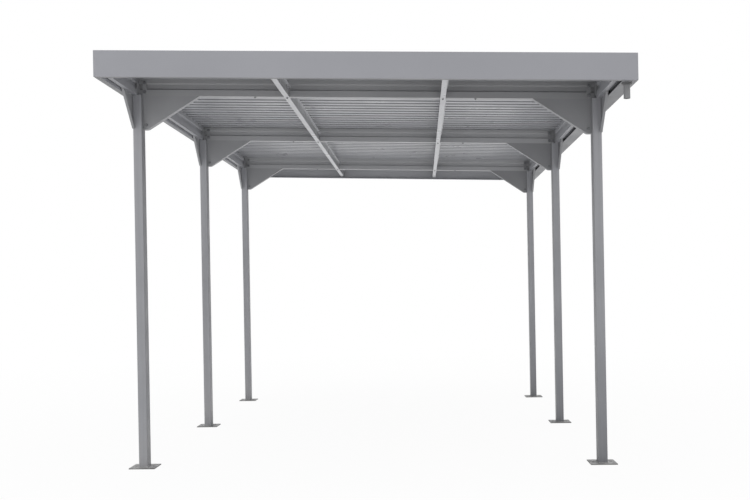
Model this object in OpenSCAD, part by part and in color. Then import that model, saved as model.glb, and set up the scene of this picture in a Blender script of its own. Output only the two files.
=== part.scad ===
// Flat-roof steel carport on six posts, with a gutter along its low right side.
// +X runs to the right, +Y to the rear and +Z up. The origin is on the ground, under the roof's middle.

/* [Overall] */
// Length of the roof along Y, over the fascias
roof_l = 5000; // [4600:50:5600]
// Width of the roof along X, over the left fascia and the gutter
roof_w = 3000; // [2700:50:3400]
// Height of the cross beams' underside over the origin
clear_h = 2260; // [2000:10:2600]
// Fall of the roof towards the gutter, in degrees
fall = 1.95; // [0.8:0.05:2.4]

/* [Posts and feet] */
// Overhang of the roof beyond the front and rear posts' centres
overhang = 650; // [500:25:800]
// Width of a post along X
post_w = 55; // [48:1:70]
// Depth of a post along Y
post_d = 78; // [65:1:100]
// Wall of a post
post_wall = 2; // [1.5:0.5:4]
// Outer corner radius of a post
post_r = 5; // [4.5:0.5:8]
// Left fascia's outer face to the left posts' outer face
left_gap = 40; // [38:1:90]
// Side of the square foot plate
foot_side = 160; // [140:5:220]
// Thickness of the foot plate
foot_t = 6; // [4:1:12]
// Anchor hole diameter in the foot plate
foot_hole_d = 14; // [10:1:18]
// Distance between the two anchor holes
foot_hole_pitch = 110; // [100:2:120]

/* [Beams] */
// Depth of the cross beams and the side beams
beam_h = 105; // [95:1:130]
// Flange width of a side beam, flush with the posts' outer faces
side_flange = 29; // [24:1:36]
// Flange width of a cross beam
beam_flange = 42; // [36:1:60]
// Lip on the edge of a beam flange
beam_lip = 16; // [10:1:20]
// Sheet thickness of the beams
beam_t = 2; // [1.5:0.5:3]
// Depth of the long recess rolled into a beam's web
step_depth = 11; // [6:0.5:12]
// Lower edge of that recess over the beam's underside
step_low = 38; // [30:1:42]
// Upper edge of that recess over the beam's underside
step_high = 80; // [72:1:84]
// Height of the recess's sloping edges
step_run = 8; // [6:1:13]

/* [Gussets and clips] */
// Plate thickness of the gussets and clips
gusset_t = 3; // [2:0.5:4]
// Reach of a knee gusset along its beam
knee_reach = 354; // [260:2:420]
// Drop of a knee gusset below its beam
knee_drop = 210; // [150:5:280]
// Width of a knee gusset's lower end
knee_end = 28; // [20:2:60]
// Outer bend radius between a knee's lower end and its slope
knee_r = 30; // [16:1:60]
// Reach of a side gusset beyond the post's faces
side_reach = 220; // [160:5:280]
// Drop of a side gusset below the side beam
side_drop = 208; // [150:2:280]
// Height of a side gusset over the side beam's underside
side_lap = 62; // [40:2:90]
// Width of the turned edge of a side gusset
side_fold = 15; // [10:1:20]
// Leg of an end clip on the cross beam
clip_leg = 27; // [20:1:40]
// Leg of an end clip on the side beam
clip_seat = 40; // [30:1:60]
// Height of an end clip
clip_h = 88; // [80:1:92]
// Height of the window in an end clip, beside the beam's end
clip_window = 40; // [20:1:50]

/* [Purlins] */
// Distance between the two purlins' centres
purlin_spacing = 962; // [700:2:1200]
// Bottom flange width of a purlin
purlin_flange = 32; // [28:1:50]
// Depth of a purlin
purlin_h = 57; // [48:1:90]
// Top lip of a purlin
purlin_lip = 15; // [8:1:20]
// Sheet thickness of a purlin
purlin_t = 1.5; // [1:0.5:2.5]

/* [Roof sheets] */
// Ribs on one sheet
sheet_ribs = 10; // [8:1:11]
// Height of a rib
sheet_rib_h = 18; // [12:1:19]
// Flat crown of a rib
sheet_crown = 30; // [24:1:36]
// Run of a rib's sloping flank
sheet_flank = 5; // [4:0.5:12]
// Sheet thickness
sheet_t = 1; // [0.8:0.2:1.4]
// Gap round the edges of the sheets
sheet_gap = 5; // [3:0.5:10]
// Overhang of the sheets into the gutter
sheet_drip = 34; // [20:1:45]

/* [Fascia and gutter] */
// Height of the fascia
fascia_h = 148; // [144:1:190]
// Fascia's lower edge below the cross beams' underside
fascia_drop = 20; // [12:1:22]
// Fascia sheet thickness
fascia_t = 2; // [1.5:0.5:3]
// Lip turned inwards along the fascia's lower edge
fascia_lip = 32; // [24:1:34]
// Lip turned inwards along the fascia's upper edge
fascia_cap = 20; // [14:1:24]
// Upstand on the left fascia's lower lip
fascia_return = 20; // [10:1:24]
// Width of the gutter, over the right fascia
gutter_w = 83; // [80:1:120]
// Height of the gutter's inner wall
gutter_wall_h = 70; // [50:1:75]
// Gap between the gutter's floor and the soffit under it
gutter_lift = 24; // [12:1:26]
// Slot between the posts and the gutter
gutter_slot = 7; // [6:0.5:16]
// Outlet tube's outer diameter
outlet_d = 36; // [30:1:46]
// Wall of the outlet tube
outlet_wall = 2; // [1.5:0.5:3]
// Outlet tube's length below the gutter
outlet_l = 85; // [60:1:140]
// Outlet collar's diameter
outlet_collar_d = 57; // [52:1:66]
// Outlet collar's thickness
outlet_collar_t = 8; // [3:1:12]
// Outlet's distance from the front fascia's face
outlet_back = 75; // [60:1:160]
// Outlet's distance from the gutter's inner side
outlet_in = 35; // [34:1:40]

/* [Hidden] */
$fn = 48;
left = -1;
right = 1;
front = -1;
middle = 0;
rear = 1;
steel = [0.42, 0.43, 0.45];
light_steel = [0.58, 0.58, 0.60];
dark_steel = [0.34, 0.34, 0.36];

// Fits: a loose fit for cut-outs, and a tool's overrun through a face
clearance = 1.5;
overrun = 1;
// Edges of the roof and inner faces of the fascias
half_w = roof_w / 2;
half_l = roof_l / 2;
inner_l = roof_l - 2 * fascia_t;
// Outer and inner faces of the two rows of posts, and their centres
gutter_x = half_w - gutter_w;
post_outer = [-half_w + left_gap, gutter_x - gutter_slot];
post_inner = [post_outer[0] + post_w, post_outer[1] - post_w];
frame_mid = (post_outer[0] + post_outer[1]) / 2;
// Inner faces of the side beams' webs
side_web = [post_outer[0] + side_flange, post_outer[1] - side_flange];
bay = half_l - overhang;
// Sheets: one node each, and the rib spacing that fills the roof from end to end
sheet_count = 5;
sheet_span = inner_l - 2 * sheet_gap - sheet_crown;
sheet_pitch = sheet_span / (sheet_count * sheet_ribs);
sheet_left = -half_w + fascia_t + sheet_gap;
sheet_right = gutter_x + sheet_drip;
// Side gussets: the turned edge starts beside the post
side_margin = 2 * gusset_t;
outlet_pos = [gutter_x + outlet_in, -half_l + outlet_back];
outer_x = half_w - fascia_t;

function at(side) = side == left ? 0 : 1;
function row_y(row) = row * bay;
// Height at x of a plane that lies h above the plane of the cross beams' undersides
function roof_z(x, h) = clear_h - x * tan(fall) + h / cos(fall);
// Front face of the web of a cross beam, whose back is flush with the posts
function web_y(row) = row_y(row) + post_d / 2 - beam_flange;
// A post's top and the side beam on it are level across, under the lower, right edge of the roof there
function side_top(side) = roof_z(max(post_outer[at(side)], post_inner[at(side)]), beam_h);
function side_bottom(side) = side_top(side) - beam_h;
// Right fascia's lower and upper edges, and the underside of the gutter
function right_low() = roof_z(half_w, -fascia_drop);
function right_high() = roof_z(half_w, fascia_h - fascia_drop);
function gutter_z() = right_low() + fascia_t + gutter_lift;

// Folded sheet: a bent path, with its thickness to the left of the way it runs
function unit(v) = v / norm(v);
function left_of(v) = [-v[1], v[0]];
function side_normal(path, i) = left_of(unit(path[i + 1] - path[i]));
function inset(path, i, t) =
    let (
        last = len(path) - 1,
        before = side_normal(path, max(i - 1, 0)),
        after = side_normal(path, min(i, last - 1)),
        both = before + after
    )
    path[i] + 2 * t * both / (both * both);
module folded(path, t) {
    back = [for (i = [len(path) - 1:-1:0]) inset(path, i, t)];
    polygon(concat(path, back));
}

// Outline (X, Z) drawn out along Y, centred on y
module along_y(l, y = 0) {
    translate([0, y + l / 2, 0]) rotate([90, 0, 0]) linear_extrude(l) children();
}
// Outline (Y, Z) drawn out along X from x
module along_x(l, x) {
    translate([x, 0, 0]) rotate([90, 0, 90]) linear_extrude(l) children();
}
// Outline (Y, Z) drawn out along the fall of the roof, cut upright at x0 and x1
module along_fall(x0, x1) {
    room = roof_w / 10;
    tall = clear_h;
    intersection() {
        translate([0, 0, clear_h]) rotate([0, fall, 0]) along_x(x1 - x0 + 2 * room, x0 - room) children();
        translate([x0, -roof_l, clear_h - tall / 2]) cube([x1 - x0, 2 * roof_l, tall]);
    }
}
module rounded_outline(w, d, r) {
    square([w - 2 * r, d], center = true);
    square([w, d - 2 * r], center = true);
    for (x = [-1, 1], y = [-1, 1]) translate([x * (w / 2 - r), y * (d / 2 - r)]) circle(r);
}

// Rolled beam: a lipped channel with a long recess in its web
function beam_path(flange) = [
    [flange, beam_h - beam_lip], [flange, beam_h], [0, beam_h],
    [0, step_high], [step_depth, step_high - step_run],
    [step_depth, step_low + step_run], [0, step_low],
    [0, 0], [flange, 0], [flange, beam_lip]
];

module foot(side, row) {
    x = (post_outer[at(side)] + post_inner[at(side)]) / 2;
    color(light_steel) translate([x, row_y(row), 0]) difference() {
        translate([-foot_side / 2, -foot_side / 2, 0]) cube([foot_side, foot_side, foot_t]);
        for (end = [-1, 1]) translate([end * foot_hole_pitch / 2, 0, -overrun])
            cylinder(d = foot_hole_d, h = foot_t + 2 * overrun);
    }
}

// Tube with a plate over its top end
module post(side, row) {
    x = (post_outer[at(side)] + post_inner[at(side)]) / 2;
    l = side_bottom(side) - foot_t;
    color(light_steel) translate([x, row_y(row), foot_t]) {
        linear_extrude(l) difference() {
            rounded_outline(post_w, post_d, post_r);
            rounded_outline(post_w - 2 * post_wall, post_d - 2 * post_wall, post_r - post_wall);
        }
        translate([0, 0, l - gusset_t]) linear_extrude(gusset_t) rounded_outline(post_w, post_d, post_r);
    }
}

// Flared plate on the outer faces of the post and the side beam, its slanted edges turned inwards
module side_gusset(side, row) {
    foot_y = post_d / 2 + side_margin;
    top_y = post_d / 2 + side_reach;
    slant = norm([top_y - foot_y, side_drop]);
    edge = gusset_t * slant / side_drop;
    z = side_bottom(side);
    color(steel) translate([post_outer[at(side)], row_y(row), z]) mirror([at(side) == 0 ? 1 : 0, 0, 0]) {
        along_x(gusset_t, 0) polygon([
            [-foot_y, -side_drop], [foot_y, -side_drop], [top_y, 0],
            [top_y, side_lap], [-top_y, side_lap], [-top_y, 0]
        ]);
        for (end = [0, 1]) mirror([0, end, 0]) along_x(side_fold, gusset_t - side_fold) polygon([
            [foot_y, -side_drop], [top_y, 0], [top_y - edge, 0], [foot_y - edge, -side_drop]
        ]);
    }
}

// Triangle with its lower outer corner rounded
module knee_outline(corner, toe, heel, tip, r) {
    slope = unit(tip - heel);
    back = unit(toe - heel);
    half_angle = acos(slope * back) / 2;
    run = r / tan(half_angle);
    centre = heel + unit(slope + back) * r / sin(half_angle);
    polygon([corner, toe, heel + run * back, centre, heel + run * slope, tip]);
    intersection() {
        translate(centre) circle(r);
        polygon([heel, heel + run * slope, centre, heel + run * back]);
    }
}

// Folded triangle under the end of a cross beam, flush with its web and open at its top
module knee(side, row) {
    way = -side;
    x = post_inner[at(side)];
    z = roof_z(x, 0);
    corner = [0, z];
    toe = [0, z - knee_drop];
    heel = [knee_end, z - knee_drop];
    tip = [knee_reach, roof_z(x + way * knee_reach, 0)];
    slope = unit(tip - heel);
    // The inner outline has its edges moved in by the plate's thickness, and runs on beyond the top
    inner_toe = toe + [gusset_t, gusset_t];
    inner_heel = heel + gusset_t * [(slope[0] - 1) / slope[1], 1];
    inner_tip = inner_heel + 2 * knee_reach * slope;
    color(steel) translate([x, web_y(row), 0]) mirror([way == 1 ? 0 : 1, 0, 0]) {
        along_y(gusset_t, gusset_t / 2) knee_outline(corner, toe, heel, tip, knee_r);
        along_y(beam_flange, beam_flange / 2) difference() {
            knee_outline(corner, toe, heel, tip, knee_r);
            knee_outline(corner + [gusset_t, knee_reach], inner_toe, inner_heel, inner_tip, knee_r - gusset_t);
        }
    }
}

module cross_beam(row) {
    color(steel) along_fall(side_web[0] + clearance, side_web[1] - clearance)
        translate([web_y(row), 0]) folded(beam_path(beam_flange), beam_t);
}

module side_beam(side) {
    color(steel) translate([side_web[at(side)], 0, side_bottom(side)])
        mirror([at(side) == 0 ? 1 : 0, 0, 0]) along_y(inner_l) folded(beam_path(side_flange), beam_t);
}

// Angles that hold the cross beams' ends to the side beams, with a window beside each end
module end_clips() {
    low = (beam_h - clip_h) / 2;
    reach = post_w - side_flange;
    color(steel) for (side = [left, right], row = [front, middle, rear]) {
        translate([side_web[at(side)], web_y(row), roof_z(post_inner[at(side)], low)]) mirror([at(side), 0, 0]) difference() {
            linear_extrude(clip_h) folded([[reach + clip_leg, 0], [0, 0], [0, -clip_seat]], gusset_t);
            translate([2 * gusset_t, -gusset_t - overrun, (clip_h - clip_window) / 2])
                cube([reach - 2 * gusset_t, gusset_t + 2 * overrun, clip_window]);
        }
    }
}

// Zed under the cross beams, its web notched round them and its bottom flange running through
module purlin(side) {
    x = frame_mid + side * purlin_spacing / 2;
    low_edge = x + purlin_flange / 2;
    z = roof_z(low_edge, 0) - purlin_t;
    color(light_steel) difference() {
        translate([x, 0, z]) along_y(inner_l) folded([
            [-purlin_flange / 2, 0], [purlin_flange / 2, 0],
            [purlin_flange / 2, purlin_h], [purlin_flange / 2 + purlin_lip, purlin_h]
        ], purlin_t);
        for (row = [front, middle, rear])
            translate([x - purlin_flange - purlin_lip, web_y(row) - clearance, z + purlin_t])
                cube([2 * (purlin_flange + purlin_lip), beam_flange + 2 * clearance, beam_h]);
    }
}

// Ribbed sheet: it starts on a crown under its neighbour's, and its last crown lies over the next
module roof_sheet(number) {
    start = -half_l + fascia_t + sheet_gap + sheet_crown / 2 + (number - 1) * sheet_ribs * sheet_pitch;
    half = sheet_crown / 2;
    foot = half + sheet_flank;
    ribs = [for (i = [1:sheet_ribs - 1]) each [
        [i * sheet_pitch - foot, 0], [i * sheet_pitch - half, sheet_rib_h],
        [i * sheet_pitch + half, sheet_rib_h], [i * sheet_pitch + foot, 0]
    ]];
    stop = sheet_ribs * sheet_pitch;
    path = concat(
        [[-half + clearance, sheet_rib_h], [half, sheet_rib_h], [foot, 0]],
        ribs,
        [[stop - foot, 0], [stop - half - clearance, sheet_rib_h + sheet_t], [stop + half, sheet_rib_h + sheet_t]]
    );
    color(light_steel) along_fall(sheet_left, sheet_right)
        translate([start, beam_h]) folded(path, sheet_t);
}

// Front or rear fascia: a lipped face across the full width, without lips over the gutter
module end_fascia(end) {
    low = -fascia_drop;
    high = fascia_h - fascia_drop;
    deep = fascia_lip + overrun;
    color(light_steel) mirror([0, end == rear ? 1 : 0, 0]) difference() {
        along_fall(-half_w, half_w) translate([-half_l, 0]) folded([
            [fascia_cap, high], [0, high], [0, low], [fascia_lip, low]
        ], fascia_t);
        translate([gutter_x, -half_l + fascia_t, clear_h - 2 * fascia_h])
            cube([gutter_w + overrun, deep, 4 * fascia_h]);
    }
}

module left_fascia() {
    low = roof_z(-half_w, -fascia_drop);
    high = roof_z(-half_w, fascia_h - fascia_drop);
    color(light_steel) difference() {
        along_y(inner_l) translate([-half_w, 0]) folded([
            [fascia_cap, high], [0, high], [0, low], [fascia_lip, low], [fascia_lip, low + fascia_return]
        ], fascia_t);
        for (end = [0, 1]) mirror([0, end, 0])
            translate([-half_w + fascia_t, half_l - fascia_lip, low - fascia_h])
                cube([fascia_lip, fascia_lip, 3 * fascia_h]);
    }
}

// Flat sheet between the end fascias, from x0 to x1 and from z0 to z1
module sheet_strip(x0, x1, z0, z1) {
    color(light_steel) translate([x0, -inner_l / 2, z0]) cube([x1 - x0, inner_l, z1 - z0]);
}
module outlet_hole() {
    translate([outlet_pos[0], outlet_pos[1], 0]) cylinder(d = outlet_d, h = clear_h);
}

module right_fascia() {
    sheet_strip(outer_x, half_w, right_low(), right_high());
}
module right_cap() {
    sheet_strip(half_w - fascia_cap, outer_x, right_high() - fascia_t, right_high());
}
module right_soffit() {
    difference() {
        sheet_strip(gutter_x, outer_x, right_low(), right_low() + fascia_t);
        outlet_hole();
    }
}

// The gutter's floor and inner wall: the right fascia is its outer wall
module gutter_floor() {
    difference() {
        sheet_strip(gutter_x, outer_x, gutter_z(), gutter_z() + fascia_t);
        outlet_hole();
    }
}
module gutter_wall() {
    sheet_strip(gutter_x, gutter_x + fascia_t, gutter_z() + fascia_t, gutter_z() + gutter_wall_h);
}

// Tube from the gutter's floor through the soffit, with a collar under it
module gutter_outlet() {
    outer = outlet_d / 2;
    inner = outer - outlet_wall;
    collar = outlet_collar_d / 2;
    rise = gutter_z() + fascia_t - right_low();
    color(light_steel) translate([outlet_pos[0], outlet_pos[1], right_low()]) rotate_extrude() polygon([
        [inner, rise], [inner, -outlet_l], [outer, -outlet_l], [outer, -outlet_collar_t],
        [collar, -outlet_collar_t], [collar, 0], [outer, 0], [outer, rise]
    ]);
}

foot(left, front);  // front_left_foot
foot(left, middle);  // middle_left_foot
foot(left, rear);  // rear_left_foot
foot(right, front);  // front_right_foot
foot(right, middle);  // middle_right_foot
foot(right, rear);  // rear_right_foot
post(left, front);  // front_left_post
post(left, middle);  // middle_left_post
post(left, rear);  // rear_left_post
post(right, front);  // front_right_post
post(right, middle);  // middle_right_post
post(right, rear);  // rear_right_post
side_gusset(left, front);  // front_left_side_gusset
side_gusset(left, middle);  // middle_left_side_gusset
side_gusset(left, rear);  // rear_left_side_gusset
side_gusset(right, front);  // front_right_side_gusset
side_gusset(right, middle);  // middle_right_side_gusset
side_gusset(right, rear);  // rear_right_side_gusset
knee(left, front);  // front_left_knee
knee(left, middle);  // middle_left_knee
knee(left, rear);  // rear_left_knee
knee(right, front);  // front_right_knee
knee(right, middle);  // middle_right_knee
knee(right, rear);  // rear_right_knee
cross_beam(front);  // front_cross_beam
cross_beam(middle);  // middle_cross_beam
cross_beam(rear);  // rear_cross_beam
side_beam(left);  // left_side_beam
side_beam(right);  // right_side_beam
end_clips();  // beam_end_clips
purlin(left);  // left_purlin
purlin(right);  // right_purlin
roof_sheet(1);  // roof_sheet_1
roof_sheet(2);  // roof_sheet_2
roof_sheet(3);  // roof_sheet_3
roof_sheet(4);  // roof_sheet_4
roof_sheet(5);  // roof_sheet_5
end_fascia(front);  // front_fascia
end_fascia(rear);  // rear_fascia
left_fascia();
right_fascia();
right_cap();
right_soffit();
gutter_floor();
gutter_wall();
gutter_outlet();
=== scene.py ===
import math
import bpy
from mathutils import Matrix, Vector


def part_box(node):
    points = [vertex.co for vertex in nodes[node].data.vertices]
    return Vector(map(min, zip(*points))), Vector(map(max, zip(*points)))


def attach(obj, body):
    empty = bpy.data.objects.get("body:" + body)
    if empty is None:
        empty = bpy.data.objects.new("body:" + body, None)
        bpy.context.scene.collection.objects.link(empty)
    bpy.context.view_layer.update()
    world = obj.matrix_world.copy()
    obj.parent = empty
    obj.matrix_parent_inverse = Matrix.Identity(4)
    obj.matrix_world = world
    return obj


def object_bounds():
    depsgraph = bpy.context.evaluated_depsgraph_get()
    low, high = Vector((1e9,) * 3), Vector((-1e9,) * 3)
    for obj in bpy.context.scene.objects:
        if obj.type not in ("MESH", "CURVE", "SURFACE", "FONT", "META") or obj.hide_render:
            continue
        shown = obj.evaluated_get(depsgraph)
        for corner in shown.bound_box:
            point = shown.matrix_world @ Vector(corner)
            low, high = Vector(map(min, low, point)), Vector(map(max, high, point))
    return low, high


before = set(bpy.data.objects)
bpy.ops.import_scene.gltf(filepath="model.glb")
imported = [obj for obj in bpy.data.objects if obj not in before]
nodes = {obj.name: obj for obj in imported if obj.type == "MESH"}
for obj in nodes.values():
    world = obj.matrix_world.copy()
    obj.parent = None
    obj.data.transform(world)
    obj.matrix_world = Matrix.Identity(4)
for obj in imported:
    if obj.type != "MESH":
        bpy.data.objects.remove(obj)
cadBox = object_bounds()
scene = bpy.context.scene
scene.view_settings.view_transform = "Standard"
rowNames = ("front", "middle", "rear")
sideNames = ("left", "right")
outWay = {"left": -1, "right": 1}
print("frame loaded:", len(nodes), "nodes")

# Camera at the photograph's angle: a level eye a little right of the middle
viewSettings = {
    "eye": (0.303, -7.934, 1.078),
    "yaw": -0.0473,
    "pitch": 0.0006,
    "roll": -0.0181,
    "focalPixels": 990.3,
    "imagePixels": (750, 500),
    "axisPixel": (374.5, 288.9),
    "sensorWidth": 36.0,
    "clipEnd": 200.0,
}


def addCamera(settings):
    cameraData = bpy.data.cameras.new("photoCamera")
    camera = bpy.data.objects.new("photoCamera", cameraData)
    scene.collection.objects.link(camera)
    yaw, pitch, roll = settings["yaw"], settings["pitch"], settings["roll"]
    forward = Vector((
        math.sin(yaw) * math.cos(pitch),
        math.cos(yaw) * math.cos(pitch),
        math.sin(pitch),
    ))
    level = Vector((math.cos(yaw), -math.sin(yaw), 0.0))
    upright = level.cross(forward)
    right = math.cos(roll) * level + math.sin(roll) * upright
    up = math.cos(roll) * upright - math.sin(roll) * level
    turn = Matrix((right, up, -forward)).transposed().to_4x4()
    camera.matrix_world = Matrix.Translation(settings["eye"]) @ turn
    width, height = settings["imagePixels"]
    cameraData.sensor_width = settings["sensorWidth"]
    cameraData.lens = settings["focalPixels"] / width * settings["sensorWidth"]
    cameraData.shift_x = (width / 2 - settings["axisPixel"][0]) / width
    cameraData.shift_y = (settings["axisPixel"][1] - height / 2) / width
    cameraData.clip_end = settings["clipEnd"]
    scene.camera = camera


addCamera(viewSettings)
print("camera placed")


def addNode(tree, kind, **values):
    node = tree.nodes.new(kind)
    for name, value in values.items():
        setattr(node, name, value)
    return node


def remap(tree, value, fromLow, fromHigh, toLow, toHigh):
    node = addNode(tree, "ShaderNodeMapRange")
    node.inputs["From Min"].default_value = fromLow
    node.inputs["From Max"].default_value = fromHigh
    node.inputs["To Min"].default_value = toLow
    node.inputs["To Max"].default_value = toHigh
    tree.links.new(value, node.inputs["Value"])
    return node.outputs[0]


def mathOf(tree, operation, first, second):
    node = addNode(tree, "ShaderNodeMath", operation=operation)
    for socket, value in zip(node.inputs, (first, second)):
        if isinstance(value, (int, float)):
            socket.default_value = value
        else:
            tree.links.new(value, socket)
    return node.outputs[0]


# White floor, and a soft sky that is brightest overhead and in front
stageSettings = {
    "floorSize": 80.0,
    "floorColor": (0.90, 0.90, 0.90),
    "shadowShare": 0.06,
    "shadowReach": (3.0, 9.0),
    "sideSky": 0.25,
    "topSky": 0.9,
    "frontSky": 0.3,
    "keySize": 8.0,
    "keyPower": 100.0,
    "keyPlace": (-4.0, -13.0, 5.0),
    "keyAim": (0.0, 0.0, 1.5),
    "fillSize": (2.6, 4.8),
    "fillPower": 20.0,
    "fillPlace": (0.0, 0.9, 0.03),
}


def seesStage(tree):
    # 1 for rays that show the backdrop to the camera, in a reflection or through glass
    path = addNode(tree, "ShaderNodeLightPath")
    shown = mathOf(tree, "MAXIMUM", path.outputs["Is Camera Ray"], path.outputs["Is Glossy Ray"])
    return mathOf(tree, "MAXIMUM", shown, path.outputs["Is Transmission Ray"])


def addFloor(settings):
    half = settings["floorSize"] / 2
    floorMesh = bpy.data.meshes.new("floor")
    corners = [(-half, -half, 0), (half, -half, 0), (half, half, 0), (-half, half, 0)]
    floorMesh.from_pydata(corners, [], [(0, 1, 2, 3)])
    floor = bpy.data.objects.new("floor", floorMesh)
    scene.collection.objects.link(floor)
    material = bpy.data.materials.new("paleFloor")
    material.use_nodes = True
    tree = material.node_tree
    tree.nodes.clear()
    output = addNode(tree, "ShaderNodeOutputMaterial")
    plain = addNode(tree, "ShaderNodeBsdfDiffuse")
    plain.inputs["Color"].default_value = (*settings["floorColor"], 1)
    glow = addNode(tree, "ShaderNodeEmission")
    # The camera sees the shadow near the object only, so that no horizon shows
    away = addNode(tree, "ShaderNodeVectorMath", operation="LENGTH")
    tree.links.new(addNode(tree, "ShaderNodeTexCoord").outputs["Object"], away.inputs[0])
    nearShare = 1.0 - settings["shadowShare"]
    whiteShare = remap(tree, away.outputs["Value"], *settings["shadowReach"], nearShare, 1.0)
    glowShare = mathOf(tree, "MULTIPLY", seesStage(tree), whiteShare)
    mix = addNode(tree, "ShaderNodeMixShader")
    tree.links.new(glowShare, mix.inputs[0])
    tree.links.new(plain.outputs[0], mix.inputs[1])
    tree.links.new(glow.outputs[0], mix.inputs[2])
    tree.links.new(mix.outputs[0], output.inputs["Surface"])
    floorMesh.materials.append(material)


def addSky(settings):
    world = bpy.data.worlds.new("softSky")
    scene.world = world
    world.use_nodes = True
    tree = world.node_tree
    tree.nodes.clear()
    output = addNode(tree, "ShaderNodeOutputWorld")
    coords = addNode(tree, "ShaderNodeTexCoord")
    split = addNode(tree, "ShaderNodeSeparateXYZ")
    tree.links.new(coords.outputs["Generated"], split.inputs[0])
    overhead = remap(tree, split.outputs["Z"], 0.0, 1.0, 0.0, settings["topSky"])
    ahead = remap(tree, split.outputs["Y"], 0.0, -1.0, 0.0, settings["frontSky"])
    strength = mathOf(tree, "ADD", mathOf(tree, "ADD", overhead, ahead), settings["sideSky"])
    sky = addNode(tree, "ShaderNodeBackground")
    sky.inputs["Color"].default_value = (1, 1, 1, 1)
    tree.links.new(strength, sky.inputs["Strength"])
    white = addNode(tree, "ShaderNodeBackground")
    white.inputs["Color"].default_value = (1, 1, 1, 1)
    mix = addNode(tree, "ShaderNodeMixShader")
    tree.links.new(seesStage(tree), mix.inputs[0])
    tree.links.new(sky.outputs[0], mix.inputs[1])
    tree.links.new(white.outputs[0], mix.inputs[2])
    tree.links.new(mix.outputs[0], output.inputs["Surface"])


def addLamps(settings):
    keyData = bpy.data.lights.new("frontKey", "AREA")
    keyData.shape = "DISK"
    keyData.size = settings["keySize"]
    keyData.energy = settings["keyPower"]
    key = bpy.data.objects.new("frontKey", keyData)
    scene.collection.objects.link(key)
    place = Vector(settings["keyPlace"])
    turn = (Vector(settings["keyAim"]) - place).to_track_quat("-Z", "Y").to_matrix().to_4x4()
    key.matrix_world = Matrix.Translation(place) @ turn
    # A wide dim lamp on the floor lifts the shade under the back of the roof
    fillData = bpy.data.lights.new("floorFill", "AREA")
    fillData.shape = "RECTANGLE"
    fillData.size, fillData.size_y = settings["fillSize"]
    fillData.energy = settings["fillPower"]
    fill = bpy.data.objects.new("floorFill", fillData)
    scene.collection.objects.link(fill)
    fill.matrix_world = Matrix.Translation(settings["fillPlace"]) @ Matrix.Rotation(math.pi, 4, "X")
    fill.visible_camera = False
    fill.visible_glossy = False


addFloor(stageSettings)
addSky(stageSettings)
addLamps(stageSettings)
print("floor, sky and lamps placed")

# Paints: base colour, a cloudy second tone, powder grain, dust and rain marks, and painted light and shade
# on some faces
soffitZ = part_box("right_soffit")[0].z
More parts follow.
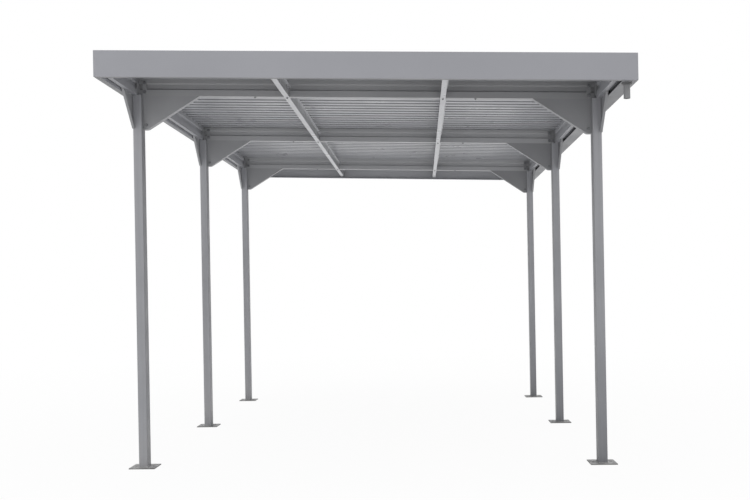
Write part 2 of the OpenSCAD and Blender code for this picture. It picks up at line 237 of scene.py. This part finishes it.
# The outlet's dark collar is painted shade
collarShadeFade = (0.015, 0.007)  # depths below the soffit between which the outlet's dark collar ends
paintSettings = {
    "framePaint": {
        "color": (0.338, 0.342, 0.362), "cloud": (0.305, 0.309, 0.327), "cloudScale": 2.2,
        "rough": (0.42, 0.58), "grainScale": 520.0, "grainHeight": 0.00012,
    },
    "postPaint": {
        "color": (0.345, 0.349, 0.370), "cloud": (0.311, 0.315, 0.334), "cloudScale": 2.2,
        "rough": (0.42, 0.58), "grainScale": 520.0, "grainHeight": 0.00012,
        # Painted shade on the sides of the posts that look in under the roof
        "inwardShadeColor": (0.205, 0.208, 0.220), "inwardShadeShare": 0.70,
        # Painted light: the posts' upper ends are lighter
        "topLightAndShadeColor": (0.385, 0.389, 0.412), "topLightAndShadeShare": 1.0, "topLightAndShadeRange": (1.35, 2.05),
        "dustColor": (0.40, 0.385, 0.36), "dustTop": 0.35, "dustShare": 0.30,
        # Painted shade: the posts' lower ends are darker on the gutter side
        "lowRightShadeColor": (0.145, 0.149, 0.164), "lowRightShadeShare": 0.78,
        "lowRightShadeSide": (0.6, 1.2), "lowRightShadeTop": 0.95,
        "runColor": (0.255, 0.258, 0.272), "runStretch": (55.0, 55.0, 0.9), "runShare": 0.35,
    },
    # Painted light: the middle and rear beams take a lighter copy of the beams' paint
    "beamLitPaint": {
        "color": (0.405, 0.408, 0.420), "cloud": (0.370, 0.373, 0.384), "cloudScale": 2.6,
        "rough": (0.38, 0.54), "grainScale": 520.0, "grainHeight": 0.00010,
    },
    # Painted shade: the front beam takes a darker copy of the beams' paint
    "frontBeamShadedPaint": {
        "color": (0.362, 0.364, 0.374), "cloud": (0.330, 0.332, 0.342), "cloudScale": 2.6,
        "rough": (0.38, 0.54), "grainScale": 520.0, "grainHeight": 0.00010,
        # Painted shade, deeper towards the gutter side
        "rightwardShadeColor": (0.150, 0.152, 0.160), "rightwardShadeSide": (0.0, 1.2), "rightwardShadeShare": 0.34,
    },
    "gussetPaint": {
        "color": (0.336, 0.339, 0.351), "cloud": (0.303, 0.306, 0.317), "cloudScale": 4.0,
        "rough": (0.42, 0.58), "grainScale": 520.0, "grainHeight": 0.00012,
        # Painted shade, deeper towards the gutter side
        "rightwardShadeColor": (0.150, 0.152, 0.160), "rightwardShadeSide": (-0.9, 1.0), "rightwardShadeShare": 0.38,
    },
    "fasciaPaint": {
        "color": (0.344, 0.348, 0.378), "cloud": (0.324, 0.328, 0.356), "cloudScale": 1.1,
        "rough": (0.40, 0.52), "grainScale": 620.0, "grainHeight": 0.00008,
        # Painted shade on the faces that look down
        "downShadeColor": (0.178, 0.180, 0.190), "downShadeShare": 1.0,
    },
    # Painted light: a copy of the fascia paint, lighter on the faces that look forward
    "rearFasciaLitPaint": {
        "color": (0.344, 0.348, 0.378), "cloud": (0.324, 0.328, 0.356), "cloudScale": 1.1,
        "rough": (0.40, 0.52), "grainScale": 620.0, "grainHeight": 0.00008,
        "innerLightColor": (0.470, 0.474, 0.490), "innerLightShare": 0.60,
    },
    "outletPaint": {
        "color": (0.262, 0.264, 0.272), "cloud": (0.232, 0.234, 0.241), "cloudScale": 9.0,
        "rough": (0.42, 0.58), "grainScale": 620.0, "grainHeight": 0.00010,
        # Painted shade: the outlet's collar under the soffit is darker
        "topLightAndShadeColor": (0.125, 0.125, 0.128), "topLightAndShadeShare": 0.90,
        "topLightAndShadeRange": tuple(soffitZ - depth for depth in collarShadeFade),
    },
    "purlinPaint": {
        "color": (0.430, 0.434, 0.456), "cloud": (0.398, 0.402, 0.422), "cloudScale": 3.0,
        "rough": (0.26, 0.38), "grainScale": 520.0, "grainHeight": 0.00008,
        # Painted shade on the purlins' upright faces
        "uprightDarkColor": (0.235, 0.237, 0.245), "uprightDarkShare": 0.60,
    },
    "roofCoating": {
        "color": (0.360, 0.364, 0.387), "cloud": (0.327, 0.331, 0.352), "cloudScale": 1.6,
        "rough": (0.26, 0.42), "grainScale": 420.0, "grainHeight": 0.00006,
        "streakStretch": (0.7, 9.0, 9.0), "streakColor": (0.27, 0.266, 0.255), "streakShare": 0.55,
        # Painted shade on the ribs' slanting sides underneath
        "ribShadeColor": (0.150, 0.152, 0.161), "ribShadeShare": 0.55,
    },
    "footPaint": {
        "color": (0.530, 0.533, 0.540), "cloud": (0.225, 0.227, 0.235), "cloudScale": 16.0,
        "rough": (0.45, 0.68), "grainScale": 380.0, "grainHeight": 0.0002,
        "dustColor": (0.42, 0.405, 0.375), "dustTop": 0.03, "dustShare": 0.35,
        "uprightDarkColor": (0.105, 0.103, 0.100), "uprightDarkShare": 0.80,
    },
}
# Noise values between which each pattern fades in
patternRange = {
    "cloud": (0.35, 0.65), "speck": (0.45, 0.70), "streak": (0.45, 0.75),
    "run": (0.45, 0.70), "dust": (0.3, 0.7), "sheen": (0.3, 0.7),
}
# How fine each pattern's noise is
patternDetail = {
    "cloud": 4.0, "speck": 1.0, "streak": 3.0, "run": 2.0,
    "dust": 4.0, "sheen": 3.0, "grain": 2.0, "spangle": 3.0,
}
# Directions of a face between which a layer fades in or out
facingRange = {
    "up": (0.3, 0.9), "inward": (-1.2, -0.6), "front": (-0.9, -0.5), "down": (-0.9, -0.4),
    "steep": (-0.6, -0.35), "under": (-0.15, -0.05), "upright": (0.2, 0.6),
}
finishSettings = {
    "speckScale": 0.5, "speckShare": 0.12, "speckTone": 0.75,
    "dustScale": 11.0, "dustLeast": 0.25, "sheenScale": 3, "grainStrength": 0.5,
}


def noiseOf(tree, coords, scale, detail, stretch=None):
    if stretch:
        mapping = addNode(tree, "ShaderNodeMapping")
        mapping.inputs["Scale"].default_value = stretch
        tree.links.new(coords, mapping.inputs["Vector"])
        coords = mapping.outputs[0]
    noise = addNode(tree, "ShaderNodeTexNoise")
    noise.inputs["Scale"].default_value = scale
    noise.inputs["Detail"].default_value = detail
    tree.links.new(coords, noise.inputs["Vector"])
    return noise.outputs["Fac"]


def mixColors(tree, share, first, second):
    node = addNode(tree, "ShaderNodeMix", data_type="RGBA")  # its colour sockets are 6, 7 and 2
    tree.links.new(share, node.inputs[0])
    for socket, value in ((node.inputs[6], first), (node.inputs[7], second)):
        if isinstance(value, tuple):
            socket.default_value = (*value, 1)
        else:
            tree.links.new(value, socket)
    return node.outputs[2]


def splitOf(tree, vector):
    node = addNode(tree, "ShaderNodeSeparateXYZ")
    tree.links.new(vector, node.inputs[0])
    return node.outputs


def startMaterial(name):
    material = bpy.data.materials.new(name)
    material.use_nodes = True
    tree = material.node_tree
    coords = addNode(tree, "ShaderNodeTexCoord").outputs["Object"]
    return material, tree, tree.nodes["Principled BSDF"], coords


def addGrain(tree, shader, coords, scale, height):
    bump = addNode(tree, "ShaderNodeBump")
    bump.inputs["Strength"].default_value = finishSettings["grainStrength"]
    bump.inputs["Distance"].default_value = height
    tree.links.new(noiseOf(tree, coords, scale, patternDetail["grain"]), bump.inputs["Height"])
    tree.links.new(bump.outputs[0], shader.inputs["Normal"])


def makePaint(name, s):
    material, tree, shader, coords = startMaterial(name)
    fine = finishSettings
    cloudNoise = noiseOf(tree, coords, s["cloudScale"], patternDetail["cloud"])
    cloud = remap(tree, cloudNoise, *patternRange["cloud"], 0.0, 1.0)
    color = mixColors(tree, cloud, s["color"], s["cloud"])
    speckNoise = noiseOf(tree, coords, s["grainScale"] * fine["speckScale"], patternDetail["speck"])
    speck = remap(tree, speckNoise, *patternRange["speck"], 0.0, fine["speckShare"])
    color = mixColors(tree, speck, color, tuple(fine["speckTone"] * c for c in s["cloud"]))
    place = splitOf(tree, coords)
    facing = splitOf(tree, addNode(tree, "ShaderNodeNewGeometry").outputs["Normal"])
    if "streakShare" in s:
        # Rain leaves streaks on the faces that look up
        streakNoise = noiseOf(tree, coords, 1.0, patternDetail["streak"], s["streakStretch"])
        streak = remap(tree, streakNoise, *patternRange["streak"], 0.0, s["streakShare"])
        upward = remap(tree, facing["Z"], *facingRange["up"], 0.0, 1.0)
        color = mixColors(tree, mathOf(tree, "MULTIPLY", streak, upward), color, s["streakColor"])
    if "topLightAndShadeShare" in s:
        # Painted light on the posts' upper ends, and painted shade on the outlet's collar under the soffit
        high = remap(tree, place["Z"], *s["topLightAndShadeRange"], 0.0, s["topLightAndShadeShare"])
        color = mixColors(tree, high, color, s["topLightAndShadeColor"])
    if "inwardShadeShare" in s:
        # Painted shade on the sides of the posts that look in under the roof
        inward = mathOf(tree, "MULTIPLY", facing["X"], place["X"])
        dirty = remap(tree, inward, *facingRange["inward"], s["inwardShadeShare"], 0.0)
        color = mixColors(tree, dirty, color, s["inwardShadeColor"])
    if "dustShare" in s:
        # Dust lies in patches near the ground
        low = remap(tree, place["Z"], 0.0, s["dustTop"], s["dustShare"], 0.0)
        dustNoise = noiseOf(tree, coords, fine["dustScale"], patternDetail["dust"])
        patch = remap(tree, dustNoise, *patternRange["dust"], fine["dustLeast"], 1.0)
        color = mixColors(tree, mathOf(tree, "MULTIPLY", low, patch), color, s["dustColor"])
    if "lowRightShadeShare" in s:
        # Painted shade on the lower ends of the posts on the gutter side
        low = remap(tree, place["Z"], 0.0, s["lowRightShadeTop"], s["lowRightShadeShare"], 0.0)
        wetSide = remap(tree, place["X"], *s["lowRightShadeSide"], 0.0, 1.0)
        color = mixColors(tree, mathOf(tree, "MULTIPLY", low, wetSide), color, s["lowRightShadeColor"])
    if "rightwardShadeShare" in s:
        # Painted shade on the plates and the front beam, deeper towards the gutter side
        dull = remap(tree, place["X"], *s["rightwardShadeSide"], 0.0, s["rightwardShadeShare"])
        color = mixColors(tree, dull, color, s["rightwardShadeColor"])
    if "runShare" in s:
        # Faint rain runs down the posts
        runNoise = noiseOf(tree, coords, 1.0, patternDetail["run"], s["runStretch"])
        run = remap(tree, runNoise, *patternRange["run"], 0.0, s["runShare"])
        color = mixColors(tree, run, color, s["runColor"])
    if "innerLightShare" in s:
        # Painted light on the rear fascia's faces that look forward, in under the roof
        inner = remap(tree, facing["Y"], *facingRange["front"], s["innerLightShare"], 0.0)
        color = mixColors(tree, inner, color, s["innerLightColor"])
    if "downShadeShare" in s:
        # Painted shade on the faces that look down
        below = remap(tree, facing["Z"], *facingRange["down"], s["downShadeShare"], 0.0)
        color = mixColors(tree, below, color, s["downShadeColor"])
    if "ribShadeShare" in s:
        # Painted shade on the slanting sides of the ribs underneath
        steep = remap(tree, facing["Z"], *facingRange["steep"], 0.0, s["ribShadeShare"])
        under = remap(tree, facing["Z"], *facingRange["under"], 1.0, 0.0)
        color = mixColors(tree, mathOf(tree, "MULTIPLY", steep, under), color, s["ribShadeColor"])
    if "uprightDarkShare" in s:
        # Upright faces darker: painted shade on the purlins' webs, and darker cut edges on the foot plates
        steepness = mathOf(tree, "ABSOLUTE", facing["Z"], 0.0)
        upright = remap(tree, steepness, *facingRange["upright"], s["uprightDarkShare"], 0.0)
        color = mixColors(tree, upright, color, s["uprightDarkColor"])
    tree.links.new(color, shader.inputs["Base Color"])
    sheen = noiseOf(tree, coords, s["cloudScale"] * fine["sheenScale"], patternDetail["sheen"])
    tree.links.new(remap(tree, sheen, *patternRange["sheen"], *s["rough"]), shader.inputs["Roughness"])
    addGrain(tree, shader, coords, s["grainScale"], s["grainHeight"])
    return material


paints = {name: makePaint(name, s) for name, s in paintSettings.items()}

# Zinc-plated bolts and the dark sealing washers of the roof screws
zincSettings = {
    "bright": (0.26, 0.264, 0.272), "dull": (0.17, 0.173, 0.180),
    "spangleScale": 180.0, "spangleRange": (0.35, 0.65),
    "rough": (0.45, 0.65), "metallic": 0.45, "grainScale": 900.0, "grainHeight": 0.00005,
}
sealSettings = {
    "color": (0.030, 0.030, 0.032), "dusty": (0.075, 0.073, 0.070),
    "dustScale": 60.0, "dustRange": (0.35, 0.7),
    "rough": (0.70, 0.92), "grainScale": 700.0, "grainHeight": 0.0001,
}


def makeZinc(s):
    material, tree, shader, coords = startMaterial("zincPlate")
    spangleNoise = noiseOf(tree, coords, s["spangleScale"], patternDetail["spangle"])
    spangle = remap(tree, spangleNoise, *s["spangleRange"], 0.0, 1.0)
    tree.links.new(mixColors(tree, spangle, s["bright"], s["dull"]), shader.inputs["Base Color"])
    tree.links.new(remap(tree, spangle, 0.0, 1.0, *s["rough"]), shader.inputs["Roughness"])
    shader.inputs["Metallic"].default_value = s["metallic"]
    addGrain(tree, shader, coords, s["grainScale"], s["grainHeight"])
    return material


def makeSeal(s):
    material, tree, shader, coords = startMaterial("sealRubber")
    dustNoise = noiseOf(tree, coords, s["dustScale"], patternDetail["dust"])
    dusty = remap(tree, dustNoise, *s["dustRange"], 0.0, 1.0)
    tree.links.new(mixColors(tree, dusty, s["color"], s["dusty"]), shader.inputs["Base Color"])
    tree.links.new(remap(tree, dusty, 0.0, 1.0, *s["rough"]), shader.inputs["Roughness"])
    addGrain(tree, shader, coords, s["grainScale"], s["grainHeight"])
    return material


zinc = makeZinc(zincSettings)
seal = makeSeal(sealSettings)

# The first of these words in a node's name gives its paint
paintOfKind = {
    "foot": "footPaint", "post": "postPaint", "rear_fascia": "rearFasciaLitPaint",
    "front_cross_beam": "frontBeamShadedPaint", "cross_beam": "beamLitPaint",
    "knee": "gussetPaint", "gusset": "gussetPaint", "clips": "gussetPaint",
    "outlet": "outletPaint", "purlin": "purlinPaint", "sheet": "roofCoating",
    "fascia": "fasciaPaint", "cap": "fasciaPaint", "soffit": "fasciaPaint", "gutter": "fasciaPaint",
}


def paintFor(name):
    for kind, paintName in paintOfKind.items():
        if kind in name:
            return paints[paintName]
    return paints["framePaint"]


for name, piece in nodes.items():
    piece.data.materials.clear()
    piece.data.materials.append(paintFor(name))
print("paints set on", len(nodes), "nodes")

standOff = 0.2  # how far outside a piece the search for its surface starts


def seatOn(name, start, way):
    # The point of a node's surface that a line from start meets, with the outward direction
    hit, point = nodes[name].ray_cast(Vector(start), Vector(way))[:2]
    if not hit:
        raise RuntimeError("no seat on " + name + " from " + str(tuple(start)))
    return point.copy(), -Vector(way)


# One tree makes every hex fastener: washer, six-sided head with a chamfer, and a raised boss
fastenerShape = {
    "washerSides": 16, "headSides": 6, "bossSides": 10,
    "flatShare": 0.75, "chamferShare": 0.82,
}


def fastenerTree(shape):
    tree = bpy.data.node_groups.new("hexFasteners", "GeometryNodeTree")
    sockets = tree.interface
    sockets.new_socket(name="Places", in_out="INPUT", socket_type="NodeSocketGeometry")
    for part in ("Head", "Washer", "Boss"):
        for size in ("Width", "Height"):
            sockets.new_socket(name=part + " " + size, in_out="INPUT", socket_type="NodeSocketFloat")
    sockets.new_socket(name="Turn Seed", in_out="INPUT", socket_type="NodeSocketInt")
    sockets.new_socket(name="Head Finish", in_out="INPUT", socket_type="NodeSocketMaterial")
    sockets.new_socket(name="Washer Finish", in_out="INPUT", socket_type="NodeSocketMaterial")
    sockets.new_socket(name="Fasteners", in_out="OUTPUT", socket_type="NodeSocketGeometry")
    given = addNode(tree, "NodeGroupInput").outputs

    def lifted(geometry, height):
        rise = addNode(tree, "ShaderNodeCombineXYZ")
        tree.links.new(height, rise.inputs["Z"])
        moved = addNode(tree, "GeometryNodeTransform")
        tree.links.new(geometry, moved.inputs["Geometry"])
        tree.links.new(rise.outputs[0], moved.inputs["Translation"])
        return moved.outputs[0]

    def drum(sidesCount, radius, depth):
        node = addNode(tree, "GeometryNodeMeshCylinder")
        node.inputs["Vertices"].default_value = sidesCount
        tree.links.new(radius, node.inputs["Radius"])
        tree.links.new(depth, node.inputs["Depth"])
        return node.outputs["Mesh"]

    washerHeight = given["Washer Height"]
    headHeight = given["Head Height"]
    washer = drum(shape["washerSides"], mathOf(tree, "MULTIPLY", given["Washer Width"], 0.5), washerHeight)
    marked = addNode(tree, "GeometryNodeStoreNamedAttribute", data_type="BOOLEAN", domain="FACE")
    marked.inputs["Name"].default_value = "isWasher"
    marked.inputs["Value"].default_value = True
    tree.links.new(lifted(washer, mathOf(tree, "MULTIPLY", washerHeight, 0.5)), marked.inputs["Geometry"])

    cornerShare = 1 / math.sqrt(3)  # from the width across flats to a corner
    headRadius = mathOf(tree, "MULTIPLY", given["Head Width"], cornerShare)
    flatPart = mathOf(tree, "MULTIPLY", headHeight, shape["flatShare"])
    flats = drum(shape["headSides"], headRadius, flatPart)
    flats = lifted(flats, mathOf(tree, "ADD", washerHeight, mathOf(tree, "MULTIPLY", flatPart, 0.5)))
    chamfer = addNode(tree, "GeometryNodeMeshCone")
    chamfer.inputs["Vertices"].default_value = shape["headSides"]
    tree.links.new(headRadius, chamfer.inputs["Radius Bottom"])
    topRadius = mathOf(tree, "MULTIPLY", headRadius, shape["chamferShare"])
    tree.links.new(topRadius, chamfer.inputs["Radius Top"])
    chamferPart = mathOf(tree, "MULTIPLY", headHeight, 1 - shape["flatShare"])
    tree.links.new(chamferPart, chamfer.inputs["Depth"])
    chamfered = lifted(chamfer.outputs["Mesh"], mathOf(tree, "ADD", washerHeight, flatPart))
    bossHeight = given["Boss Height"]
    boss = drum(shape["bossSides"], mathOf(tree, "MULTIPLY", given["Boss Width"], 0.5), bossHeight)
    headTop = mathOf(tree, "ADD", washerHeight, headHeight)
    boss = lifted(boss, mathOf(tree, "ADD", headTop, mathOf(tree, "MULTIPLY", bossHeight, 0.5)))

    whole = addNode(tree, "GeometryNodeJoinGeometry")
    for part in (marked.outputs[0], flats, chamfered, boss):
        tree.links.new(part, whole.inputs[0])

    axis = addNode(tree, "GeometryNodeInputNamedAttribute", data_type="FLOAT_VECTOR")
    axis.inputs["Name"].default_value = "axis"
    facing = addNode(tree, "FunctionNodeAlignRotationToVector", axis="Z")
    tree.links.new(axis.outputs["Attribute"], facing.inputs["Vector"])
    spin = addNode(tree, "FunctionNodeRandomValue", data_type="FLOAT")
    spin.inputs[3].default_value = math.tau  # up to a full turn
    tree.links.new(given["Turn Seed"], spin.inputs["Seed"])
    around = addNode(tree, "ShaderNodeCombineXYZ")
    tree.links.new(spin.outputs[1], around.inputs["Z"])
    asTurn = addNode(tree, "FunctionNodeEulerToRotation")
    tree.links.new(around.outputs[0], asTurn.inputs[0])
    turned = addNode(tree, "FunctionNodeRotateRotation", rotation_space="LOCAL")
    tree.links.new(facing.outputs[0], turned.inputs["Rotation"])
    tree.links.new(asTurn.outputs[0], turned.inputs["Rotate By"])

    spread = addNode(tree, "GeometryNodeInstanceOnPoints")
    tree.links.new(given["Places"], spread.inputs["Points"])
    tree.links.new(whole.outputs[0], spread.inputs["Instance"])
    tree.links.new(turned.outputs[0], spread.inputs["Rotation"])
    real = addNode(tree, "GeometryNodeRealizeInstances")
    tree.links.new(spread.outputs[0], real.inputs["Geometry"])
    headFinish = addNode(tree, "GeometryNodeSetMaterial")
    tree.links.new(real.outputs[0], headFinish.inputs["Geometry"])
    tree.links.new(given["Head Finish"], headFinish.inputs["Material"])
    isWasher = addNode(tree, "GeometryNodeInputNamedAttribute", data_type="BOOLEAN")
    isWasher.inputs["Name"].default_value = "isWasher"
    washerFinish = addNode(tree, "GeometryNodeSetMaterial")
    tree.links.new(headFinish.outputs[0], washerFinish.inputs["Geometry"])
    tree.links.new(isWasher.outputs["Attribute"], washerFinish.inputs["Selection"])
    tree.links.new(given["Washer Finish"], washerFinish.inputs["Material"])
    result = addNode(tree, "NodeGroupOutput")
    tree.links.new(washerFinish.outputs[0], result.inputs[0])
    return tree


def bakeTree(name, sourceMesh, tree, values):
    # Runs a tree on a mesh, and keeps the result as a plain piece on the frame
    source = bpy.data.objects.new(name + "Source", sourceMesh)
    scene.collection.objects.link(source)
    modifier = source.modifiers.new("shape", "NODES")
    modifier.node_group = tree
    for item in tree.interface.items_tree:
        if item.in_out == "INPUT" and item.name in values:
            modifier[item.identifier] = values[item.name]
    made = source.evaluated_get(bpy.context.evaluated_depsgraph_get())
    mesh = bpy.data.meshes.new_from_object(made)
    mesh.name = name
    source.modifiers.remove(modifier)
    bpy.data.objects.remove(source)
    piece = bpy.data.objects.new(name, mesh)
    scene.collection.objects.link(piece)
    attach(piece, "root")
    return piece


def addFasteners(name, places, values):
    mesh = bpy.data.meshes.new(name + "Places")
    mesh.from_pydata([point for point, way in places], [], [])
    axis = mesh.attributes.new("axis", "FLOAT_VECTOR", "POINT")
    axis.data.foreach_set("vector", [c for point, way in places for c in way])
    bakeTree(name, mesh, hexTree, values)
    print(name + ":", len(places))


hexTree = fastenerTree(fastenerShape)

# M8 bolts of the frame: clips, knees and side gussets
boltSettings = {
    "Head Width": 0.013, "Head Height": 0.0055, "Washer Width": 0.021, "Washer Height": 0.0016,
    "Boss Width": 0.009, "Boss Height": 0.0004, "Turn Seed": 3, "Head Finish": zinc, "Washer Finish": zinc,
}
boltPlaces = {
    "clipEdge": 0.038,
    "clipSpread": 0.028,
    "kneeEdge": 0.020,
    "kneeRise": 0.029,
    "gussetRise": (0.045, 0.130),
}


def frameBolts(s):
    places = []
    for row in rowNames:
        beamLow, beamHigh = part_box(row + "_cross_beam")
        for side in sideNames:
            out = outWay[side]
            end = beamLow.x if side == "left" else beamHigh.x
            sideLow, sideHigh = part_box(side + "_side_beam")
            postLow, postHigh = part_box(row + "_" + side + "_post")
            middleZ = (sideLow.z + sideHigh.z) / 2
            for lift in (-s["clipSpread"], s["clipSpread"]):
                x = end - out * s["clipEdge"]
                start = (x, beamLow.y - standOff, middleZ + lift)
                places.append(seatOn("beam_end_clips", start, (0, 1, 0)))
            knee = row + "_" + side + "_knee"
            kneeLow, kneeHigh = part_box(knee)
            inner = kneeLow.x if side == "left" else kneeHigh.x
            start = (inner - out * s["kneeEdge"], kneeLow.y - standOff, kneeLow.z + s["kneeRise"])
            places.append(seatOn(knee, start, (0, 1, 0)))
            gusset = row + "_" + side + "_side_gusset"
            gussetLow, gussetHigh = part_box(gusset)
            outside = (gussetLow.x if side == "left" else gussetHigh.x) + out * standOff
            middleY = (postLow.y + postHigh.y) / 2
            for rise in s["gussetRise"]:
                places.append(seatOn(gusset, (outside, middleY, gussetLow.z + rise), (-out, 0, 0)))
    return places


addFasteners("frame_bolts", frameBolts(boltPlaces), boltSettings)

# Screws from below: through the purlins into the cross beams, and beside them in the beams' flanges
flangeScrewSettings = {
    "Head Width": 0.008, "Head Height": 0.0045, "Washer Width": 0.015, "Washer Height": 0.0018,
    "Boss Width": 0.006, "Boss Height": 0.0004, "Turn Seed": 11, "Head Finish": zinc, "Washer Finish": zinc,
}
flangePlaces = {"purlinEdge": 0.016, "outward": 0.200}


def flangeScrews(s):
    places = []
    for row in rowNames:
        beam = row + "_cross_beam"
        beamLow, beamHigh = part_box(beam)
        y = (beamLow.y + beamHigh.y) / 2
        for side in sideNames:
            out = outWay[side]
            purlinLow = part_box(side + "_purlin")[0]
            x = purlinLow.x + s["purlinEdge"]
            z = purlinLow.z - standOff
            places.append(seatOn(side + "_purlin", (x, y, z), (0, 0, 1)))
            places.append(seatOn(beam, (x + out * s["outward"], y, z), (0, 0, 1)))
    return places


addFasteners("flange_screws", flangeScrews(flangePlaces), flangeScrewSettings)

# Roof screws in every second pan over the side beams, and in the pan over each cross beam
screwSettings = {
    "Head Width": 0.008, "Head Height": 0.0045, "Washer Width": 0.016, "Washer Height": 0.0022,
    "Boss Width": 0.006, "Boss Height": 0.0004, "Turn Seed": 8, "Head Finish": zinc, "Washer Finish": seal,
}
roofPlaces = {"pans": 10, "every": 2, "acrossCount": 7}


def roofScrews(s):
    sheets = sorted((n for n in nodes if n.startswith("roof_sheet")), key=lambda n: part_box(n)[0].y)
    pitch = (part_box(sheets[1])[0].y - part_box(sheets[0])[0].y) / s["pans"]
    pans = []
    for sheet in sheets:
        low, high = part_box(sheet)
        firstPan = (low.y + high.y - s["pans"] * pitch) / 2 + pitch / 2
        pans += [(sheet, firstPan + pan * pitch) for pan in range(s["pans"])]
    spots = []
    for side in sideNames:
        low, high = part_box(side + "_side_beam")
        spots += [(sheet, (low.x + high.x) / 2, y) for sheet, y in pans[::s["every"]]]
    for row in rowNames:
        low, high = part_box(row + "_cross_beam")
        sheet, y = min(pans, key=lambda pan: abs(pan[1] - (low.y + high.y) / 2))
        step = (high.x - low.x) / (s["acrossCount"] + 1)
        spots += [(sheet, low.x + step * (i + 1), y) for i in range(s["acrossCount"])]
    above = cadBox[1].z + standOff
    return [seatOn(sheet, (x, y, above), (0, 0, -1)) for sheet, x, y in spots]


addFasteners("roof_screws", roofScrews(roofPlaces), screwSettings)

# Fillet weld round the foot of each post
weldSettings = {
    "Bead Width": 0.007, "Ripple": 0.0009, "Ripple Scale": 160.0, "Seed": 5.0,
    "Step Length": 0.003, "Finish": paints["footPaint"],
}
weldPath = {"cornerRadius": 0.005, "cornerSteps": 4, "beadSides": 8}


def weldTree(beadSides):
    tree = bpy.data.node_groups.new("weldBead", "GeometryNodeTree")
    sockets = tree.interface
    sockets.new_socket(name="Path", in_out="INPUT", socket_type="NodeSocketGeometry")
    for name in ("Bead Width", "Ripple", "Ripple Scale", "Seed", "Step Length"):
        sockets.new_socket(name=name, in_out="INPUT", socket_type="NodeSocketFloat")
    sockets.new_socket(name="Finish", in_out="INPUT", socket_type="NodeSocketMaterial")
    sockets.new_socket(name="Bead", in_out="OUTPUT", socket_type="NodeSocketGeometry")
    given = addNode(tree, "NodeGroupInput").outputs
    curve = addNode(tree, "GeometryNodeMeshToCurve")
    tree.links.new(given["Path"], curve.inputs["Mesh"])
    fine = addNode(tree, "GeometryNodeResampleCurve", mode="LENGTH")
    tree.links.new(curve.outputs[0], fine.inputs["Curve"])
    tree.links.new(given["Step Length"], fine.inputs["Length"])
    ring = addNode(tree, "GeometryNodeCurvePrimitiveCircle")
    ring.inputs["Resolution"].default_value = beadSides
    tree.links.new(mathOf(tree, "MULTIPLY", given["Bead Width"], 0.5), ring.inputs["Radius"])
    tube = addNode(tree, "GeometryNodeCurveToMesh")
    tree.links.new(fine.outputs[0], tube.inputs["Curve"])
    tree.links.new(ring.outputs["Curve"], tube.inputs["Profile Curve"])
    noise = addNode(tree, "ShaderNodeTexNoise", noise_dimensions="4D")
    tree.links.new(given["Ripple Scale"], noise.inputs["Scale"])
    tree.links.new(given["Seed"], noise.inputs["W"])
    swell = mathOf(tree, "MULTIPLY", mathOf(tree, "SUBTRACT", noise.outputs["Fac"], 0.5), given["Ripple"])
    normal = addNode(tree, "GeometryNodeInputNormal")
    offset = addNode(tree, "ShaderNodeVectorMath", operation="SCALE")
    tree.links.new(normal.outputs[0], offset.inputs["Vector"])
    tree.links.new(swell, offset.inputs["Scale"])
    moved = addNode(tree, "GeometryNodeSetPosition")
    tree.links.new(tube.outputs[0], moved.inputs["Geometry"])
    tree.links.new(offset.outputs[0], moved.inputs["Offset"])
    real = addNode(tree, "GeometryNodeRealizeInstances")
    tree.links.new(moved.outputs[0], real.inputs["Geometry"])
    finish = addNode(tree, "GeometryNodeSetMaterial")
    tree.links.new(real.outputs[0], finish.inputs["Geometry"])
    tree.links.new(given["Finish"], finish.inputs["Material"])
    result = addNode(tree, "NodeGroupOutput")
    tree.links.new(finish.outputs[0], result.inputs[0])
    return tree


def addWelds(path, values):
    points, edges = [], []
    r = path["cornerRadius"]
    for row in rowNames:
        for side in sideNames:
            low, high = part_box(row + "_" + side + "_post")
            first = len(points)
            left, right, near, far = low.x + r, high.x - r, low.y + r, high.y - r
            centres = ((right, far), (left, far), (left, near), (right, near))
            for corner, (x, y) in enumerate(centres):
                for step in range(path["cornerSteps"] + 1):
                    angle = math.pi / 2 * (corner + step / path["cornerSteps"])
                    points.append((x + r * math.cos(angle), y + r * math.sin(angle), low.z))
            count = len(points) - first
            edges += [(first + i, first + (i + 1) % count) for i in range(count)]
    mesh = bpy.data.meshes.new("weldPath")
    mesh.from_pydata(points, edges, [])
    piece = bakeTree("post_welds", mesh, weldTree(path["beadSides"]), values)
    for face in piece.data.polygons:
        face.use_smooth = True
    print("post_welds:", len(rowNames) * len(sideNames))


addWelds(weldPath, weldSettings)
